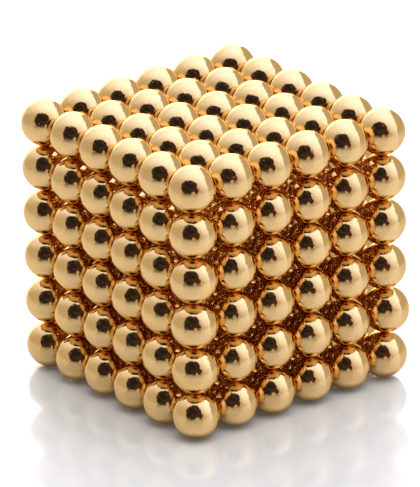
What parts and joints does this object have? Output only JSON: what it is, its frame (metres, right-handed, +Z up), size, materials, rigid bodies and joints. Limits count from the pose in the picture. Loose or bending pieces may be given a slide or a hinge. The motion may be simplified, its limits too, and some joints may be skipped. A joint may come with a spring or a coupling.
{
  "type": "magnetic ball cube",
  "caption": "Desk toy cube stacked from polished gold-plated ball magnets that hold each other; layers lift off, rows peel off and corner balls pull off.",
  "frame": {"origin": "centre of the square that the cube rests on, on the surface under the lowest balls", "axes": "+Z up through the layers, +X along the rows, -Y the front"},
  "size_m": [0.0303, 0.03, 0.03],
  "materials": {
    "gold_plating": "mirror-polished gold plating over nickel, on a sintered neodymium ball; pale warm gold, faint handling marks"
  },
  "bodies": {
    "layer_1_row_2": {"layer_1_row_2": "gold_plating"},
    "layer_1_row_3": {"layer_1_row_3": "gold_plating"},
    "layer_1_row_4": {"layer_1_row_4": "gold_plating"},
    "layer_1_row_5": {"layer_1_row_5": "gold_plating"},
    "layer_1_front_row": {"layer_1_front_row": "gold_plating"},
    "layer_1_front_left_ball": {"layer_1_front_left_ball": "gold_plating"},
    "layer_1_front_right_ball": {"layer_1_front_right_ball": "gold_plating"},
    "layer_1_back_row": {"layer_1_back_row": "gold_plating"},
    "layer_1_back_left_ball": {"layer_1_back_left_ball": "gold_plating"},
    "layer_1_back_right_ball": {"layer_1_back_right_ball": "gold_plating"},
    "layer_2_row_2": {"layer_2_row_2": "gold_plating"},
    "layer_2_row_3": {"layer_2_row_3": "gold_plating"},
    "layer_2_row_4": {"layer_2_row_4": "gold_plating"},
    "layer_2_row_5": {"layer_2_row_5": "gold_plating"},
    "layer_2_front_row": {"layer_2_front_row": "gold_plating"},
    "layer_2_front_left_ball": {"layer_2_front_left_ball": "gold_plating"},
    "layer_2_front_right_ball": {"layer_2_front_right_ball": "gold_plating"},
    "layer_2_back_row": {"layer_2_back_row": "gold_plating"},
    "layer_2_back_left_ball": {"layer_2_back_left_ball": "gold_plating"},
    "layer_2_back_right_ball": {"layer_2_back_right_ball": "gold_plating"},
    "layer_3_row_2": {"layer_3_row_2": "gold_plating"},
    "layer_3_row_3": {"layer_3_row_3": "gold_plating"},
    "layer_3_row_4": {"layer_3_row_4": "gold_plating"},
    "layer_3_row_5": {"layer_3_row_5": "gold_plating"},
    "layer_3_front_row": {"layer_3_front_row": "gold_plating"},
    "layer_3_front_left_ball": {"layer_3_front_left_ball": "gold_plating"},
    "layer_3_front_right_ball": {"layer_3_front_right_ball": "gold_plating"},
    "layer_3_back_row": {"layer_3_back_row": "gold_plating"},
    "layer_3_back_left_ball": {"layer_3_back_left_ball": "gold_plating"},
    "layer_3_back_right_ball": {"layer_3_back_right_ball": "gold_plating"},
    "layer_4_row_2": {"layer_4_row_2": "gold_plating"},
    "layer_4_row_3": {"layer_4_row_3": "gold_plating"},
    "layer_4_row_4": {"layer_4_row_4": "gold_plating"},
    "layer_4_row_5": {"layer_4_row_5": "gold_plating"},
    "layer_4_front_row": {"layer_4_front_row": "gold_plating"},
    "layer_4_front_left_ball": {"layer_4_front_left_ball": "gold_plating"},
    "layer_4_front_right_ball": {"layer_4_front_right_ball": "gold_plating"},
    "layer_4_back_row": {"layer_4_back_row": "gold_plating"},
    "layer_4_back_left_ball": {"layer_4_back_left_ball": "gold_plating"},
    "layer_4_back_right_ball": {"layer_4_back_right_ball": "gold_plating"},
    "layer_5_row_2": {"layer_5_row_2": "gold_plating"},
    "layer_5_row_3": {"layer_5_row_3": "gold_plating"},
    "layer_5_row_4": {"layer_5_row_4": "gold_plating"},
    "layer_5_row_5": {"layer_5_row_5": "gold_plating"},
    "layer_5_front_row": {"layer_5_front_row": "gold_plating"},
    "layer_5_front_left_ball": {"layer_5_front_left_ball": "gold_plating"},
    "layer_5_front_right_ball": {"layer_5_front_right_ball": "gold_plating"},
    "layer_5_back_row": {"layer_5_back_row": "gold_plating"},
    "layer_5_back_left_ball": {"layer_5_back_left_ball": "gold_plating"},
    "layer_5_back_right_ball": {"layer_5_back_right_ball": "gold_plating"},
    "layer_6_row_2": {"layer_6_row_2": "gold_plating"},
    "layer_6_row_3": {"layer_6_row_3": "gold_plating"},
    "layer_6_row_4": {"layer_6_row_4": "gold_plating"},
    "layer_6_row_5": {"layer_6_row_5": "gold_plating"},
    "layer_6_front_row": {"layer_6_front_row": "gold_plating"},
    "layer_6_front_left_ball": {"layer_6_front_left_ball": "gold_plating"},
    "layer_6_front_right_ball": {"layer_6_front_right_ball": "gold_plating"},
    "layer_6_back_row": {"layer_6_back_row": "gold_plating"},
    "layer_6_back_left_ball": {"layer_6_back_left_ball": "gold_plating"},
    "layer_6_back_right_ball": {"layer_6_back_right_ball": "gold_plating"}
  },
  "joints": [
    {"name": "layer_1_row_2_pull", "type": "slide", "parent": "layer_1_row_3", "child": "layer_1_row_2", "axis": [0, -1, 0], "range_m": [0, 0.01]},
    {"name": "layer_1_front_row_pull", "type": "slide", "parent": "layer_1_row_2", "child": "layer_1_front_row", "axis": [0, -1, 0], "range_m": [0, 0.01]},
    {"name": "layer_1_row_4_pull", "type": "slide", "parent": "layer_1_row_3", "child": "layer_1_row_4", "axis": [0, 1, 0], "range_m": [0, 0.01]},
    {"name": "layer_1_row_5_pull", "type": "slide", "parent": "layer_1_row_4", "child": "layer_1_row_5", "axis": [0, 1, 0], "range_m": [0, 0.01]},
    {"name": "layer_1_back_row_pull", "type": "slide", "parent": "layer_1_row_5", "child": "layer_1_back_row", "axis": [0, 1, 0], "range_m": [0, 0.01]},
    {"name": "layer_1_front_left_ball_pull", "type": "slide", "parent": "layer_1_front_row", "child": "layer_1_front_left_ball", "axis": [-1, 0, 0], "range_m": [0, 0.01]},
    {"name": "layer_1_front_right_ball_pull", "type": "slide", "parent": "layer_1_front_row", "child": "layer_1_front_right_ball", "axis": [1, 0, 0], "range_m": [0, 0.01]},
    {"name": "layer_1_back_left_ball_pull", "type": "slide", "parent": "layer_1_back_row", "child": "layer_1_back_left_ball", "axis": [-1, 0, 0], "range_m": [0, 0.01]},
    {"name": "layer_1_back_right_ball_pull", "type": "slide", "parent": "layer_1_back_row", "child": "layer_1_back_right_ball", "axis": [1, 0, 0], "range_m": [0, 0.01]},
    {"name": "layer_2_lift", "type": "slide", "parent": "layer_1_row_3", "child": "layer_2_row_3", "axis": [0, 0, 1], "range_m": [0, 0.01]},
    {"name": "layer_2_row_2_pull", "type": "slide", "parent": "layer_2_row_3", "child": "layer_2_row_2", "axis": [0, -1, 0], "range_m": [0, 0.01]},
    {"name": "layer_2_front_row_pull", "type": "slide", "parent": "layer_2_row_2", "child": "layer_2_front_row", "axis": [0, -1, 0], "range_m": [0, 0.01]},
    {"name": "layer_2_row_4_pull", "type": "slide", "parent": "layer_2_row_3", "child": "layer_2_row_4", "axis": [0, 1, 0], "range_m": [0, 0.01]},
    {"name": "layer_2_row_5_pull", "type": "slide", "parent": "layer_2_row_4", "child": "layer_2_row_5", "axis": [0, 1, 0], "range_m": [0, 0.01]},
    {"name": "layer_2_back_row_pull", "type": "slide", "parent": "layer_2_row_5", "child": "layer_2_back_row", "axis": [0, 1, 0], "range_m": [0, 0.01]},
    {"name": "layer_2_front_left_ball_pull", "type": "slide", "parent": "layer_2_front_row", "child": "layer_2_front_left_ball", "axis": [-1, 0, 0], "range_m": [0, 0.01]},
    {"name": "layer_2_front_right_ball_pull", "type": "slide", "parent": "layer_2_front_row", "child": "layer_2_front_right_ball", "axis": [1, 0, 0], "range_m": [0, 0.01]},
    {"name": "layer_2_back_left_ball_pull", "type": "slide", "parent": "layer_2_back_row", "child": "layer_2_back_left_ball", "axis": [-1, 0, 0], "range_m": [0, 0.01]},
    {"name": "layer_2_back_right_ball_pull", "type": "slide", "parent": "layer_2_back_row", "child": "layer_2_back_right_ball", "axis": [1, 0, 0], "range_m": [0, 0.01]},
    {"name": "layer_3_lift", "type": "slide", "parent": "layer_2_row_3", "child": "layer_3_row_3", "axis": [0, 0, 1], "range_m": [0, 0.01]},
    {"name": "layer_3_row_2_pull", "type": "slide", "parent": "layer_3_row_3", "child": "layer_3_row_2", "axis": [0, -1, 0], "range_m": [0, 0.01]},
    {"name": "layer_3_front_row_pull", "type": "slide", "parent": "layer_3_row_2", "child": "layer_3_front_row", "axis": [0, -1, 0], "range_m": [0, 0.01]},
    {"name": "layer_3_row_4_pull", "type": "slide", "parent": "layer_3_row_3", "child": "layer_3_row_4", "axis": [0, 1, 0], "range_m": [0, 0.01]},
    {"name": "layer_3_row_5_pull", "type": "slide", "parent": "layer_3_row_4", "child": "layer_3_row_5", "axis": [0, 1, 0], "range_m": [0, 0.01]},
    {"name": "layer_3_back_row_pull", "type": "slide", "parent": "layer_3_row_5", "child": "layer_3_back_row", "axis": [0, 1, 0], "range_m": [0, 0.01]},
    {"name": "layer_3_front_left_ball_pull", "type": "slide", "parent": "layer_3_front_row", "child": "layer_3_front_left_ball", "axis": [-1, 0, 0], "range_m": [0, 0.01]},
    {"name": "layer_3_front_right_ball_pull", "type": "slide", "parent": "layer_3_front_row", "child": "layer_3_front_right_ball", "axis": [1, 0, 0], "range_m": [0, 0.01]},
    {"name": "layer_3_back_left_ball_pull", "type": "slide", "parent": "layer_3_back_row", "child": "layer_3_back_left_ball", "axis": [-1, 0, 0], "range_m": [0, 0.01]},
    {"name": "layer_3_back_right_ball_pull", "type": "slide", "parent": "layer_3_back_row", "child": "layer_3_back_right_ball", "axis": [1, 0, 0], "range_m": [0, 0.01]},
    {"name": "layer_4_lift", "type": "slide", "parent": "layer_3_row_3", "child": "layer_4_row_3", "axis": [0, 0, 1], "range_m": [0, 0.01]},
    {"name": "layer_4_row_2_pull", "type": "slide", "parent": "layer_4_row_3", "child": "layer_4_row_2", "axis": [0, -1, 0], "range_m": [0, 0.01]},
    {"name": "layer_4_front_row_pull", "type": "slide", "parent": "layer_4_row_2", "child": "layer_4_front_row", "axis": [0, -1, 0], "range_m": [0, 0.01]},
    {"name": "layer_4_row_4_pull", "type": "slide", "parent": "layer_4_row_3", "child": "layer_4_row_4", "axis": [0, 1, 0], "range_m": [0, 0.01]},
    {"name": "layer_4_row_5_pull", "type": "slide", "parent": "layer_4_row_4", "child": "layer_4_row_5", "axis": [0, 1, 0], "range_m": [0, 0.01]},
    {"name": "layer_4_back_row_pull", "type": "slide", "parent": "layer_4_row_5", "child": "layer_4_back_row", "axis": [0, 1, 0], "range_m": [0, 0.01]},
    {"name": "layer_4_front_left_ball_pull", "type": "slide", "parent": "layer_4_front_row", "child": "layer_4_front_left_ball", "axis": [-1, 0, 0], "range_m": [0, 0.01]},
    {"name": "layer_4_front_right_ball_pull", "type": "slide", "parent": "layer_4_front_row", "child": "layer_4_front_right_ball", "axis": [1, 0, 0], "range_m": [0, 0.01]},
    {"name": "layer_4_back_left_ball_pull", "type": "slide", "parent": "layer_4_back_row", "child": "layer_4_back_left_ball", "axis": [-1, 0, 0], "range_m": [0, 0.01]},
    {"name": "layer_4_back_right_ball_pull", "type": "slide", "parent": "layer_4_back_row", "child": "layer_4_back_right_ball", "axis": [1, 0, 0], "range_m": [0, 0.01]},
    {"name": "layer_5_lift", "type": "slide", "parent": "layer_4_row_3", "child": "layer_5_row_3", "axis": [0, 0, 1], "range_m": [0, 0.01]},
    {"name": "layer_5_row_2_pull", "type": "slide", "parent": "layer_5_row_3", "child": "layer_5_row_2", "axis": [0, -1, 0], "range_m": [0, 0.01]},
    {"name": "layer_5_front_row_pull", "type": "slide", "parent": "layer_5_row_2", "child": "layer_5_front_row", "axis": [0, -1, 0], "range_m": [0, 0.01]},
    {"name": "layer_5_row_4_pull", "type": "slide", "parent": "layer_5_row_3", "child": "layer_5_row_4", "axis": [0, 1, 0], "range_m": [0, 0.01]},
    {"name": "layer_5_row_5_pull", "type": "slide", "parent": "layer_5_row_4", "child": "layer_5_row_5", "axis": [0, 1, 0], "range_m": [0, 0.01]},
    {"name": "layer_5_back_row_pull", "type": "slide", "parent": "layer_5_row_5", "child": "layer_5_back_row", "axis": [0, 1, 0], "range_m": [0, 0.01]},
    {"name": "layer_5_front_left_ball_pull", "type": "slide", "parent": "layer_5_front_row", "child": "layer_5_front_left_ball", "axis": [-1, 0, 0], "range_m": [0, 0.01]},
    {"name": "layer_5_front_right_ball_pull", "type": "slide", "parent": "layer_5_front_row", "child": "layer_5_front_right_ball", "axis": [1, 0, 0], "range_m": [0, 0.01]},
    {"name": "layer_5_back_left_ball_pull", "type": "slide", "parent": "layer_5_back_row", "child": "layer_5_back_left_ball", "axis": [-1, 0, 0], "range_m": [0, 0.01]},
    {"name": "layer_5_back_right_ball_pull", "type": "slide", "parent": "layer_5_back_row", "child": "layer_5_back_right_ball", "axis": [1, 0, 0], "range_m": [0, 0.01]},
    {"name": "layer_6_lift", "type": "slide", "parent": "layer_5_row_3", "child": "layer_6_row_3", "axis": [0, 0, 1], "range_m": [0, 0.01]},
    {"name": "layer_6_row_2_pull", "type": "slide", "parent": "layer_6_row_3", "child": "layer_6_row_2", "axis": [0, -1, 0], "range_m": [0, 0.01]},
    {"name": "layer_6_front_row_pull", "type": "slide", "parent": "layer_6_row_2", "child": "layer_6_front_row", "axis": [0, -1, 0], "range_m": [0, 0.01]},
    {"name": "layer_6_row_4_pull", "type": "slide", "parent": "layer_6_row_3", "child": "layer_6_row_4", "axis": [0, 1, 0], "range_m": [0, 0.01]},
    {"name": "layer_6_row_5_pull", "type": "slide", "parent": "layer_6_row_4", "child": "layer_6_row_5", "axis": [0, 1, 0], "range_m": [0, 0.01]},
    {"name": "layer_6_back_row_pull", "type": "slide", "parent": "layer_6_row_5", "child": "layer_6_back_row", "axis": [0, 1, 0], "range_m": [0, 0.01]},
    {"name": "layer_6_front_left_ball_pull", "type": "slide", "parent": "layer_6_front_row", "child": "layer_6_front_left_ball", "axis": [-1, 0, 0], "range_m": [0, 0.01]},
    {"name": "layer_6_front_right_ball_pull", "type": "slide", "parent": "layer_6_front_row", "child": "layer_6_front_right_ball", "axis": [1, 0, 0], "range_m": [0, 0.01]},
    {"name": "layer_6_back_left_ball_pull", "type": "slide", "parent": "layer_6_back_row", "child": "layer_6_back_left_ball", "axis": [-1, 0, 0], "range_m": [0, 0.01]},
    {"name": "layer_6_back_right_ball_pull", "type": "slide", "parent": "layer_6_back_row", "child": "layer_6_back_right_ball", "axis": [1, 0, 0], "range_m": [0, 0.01]}
  ]
}
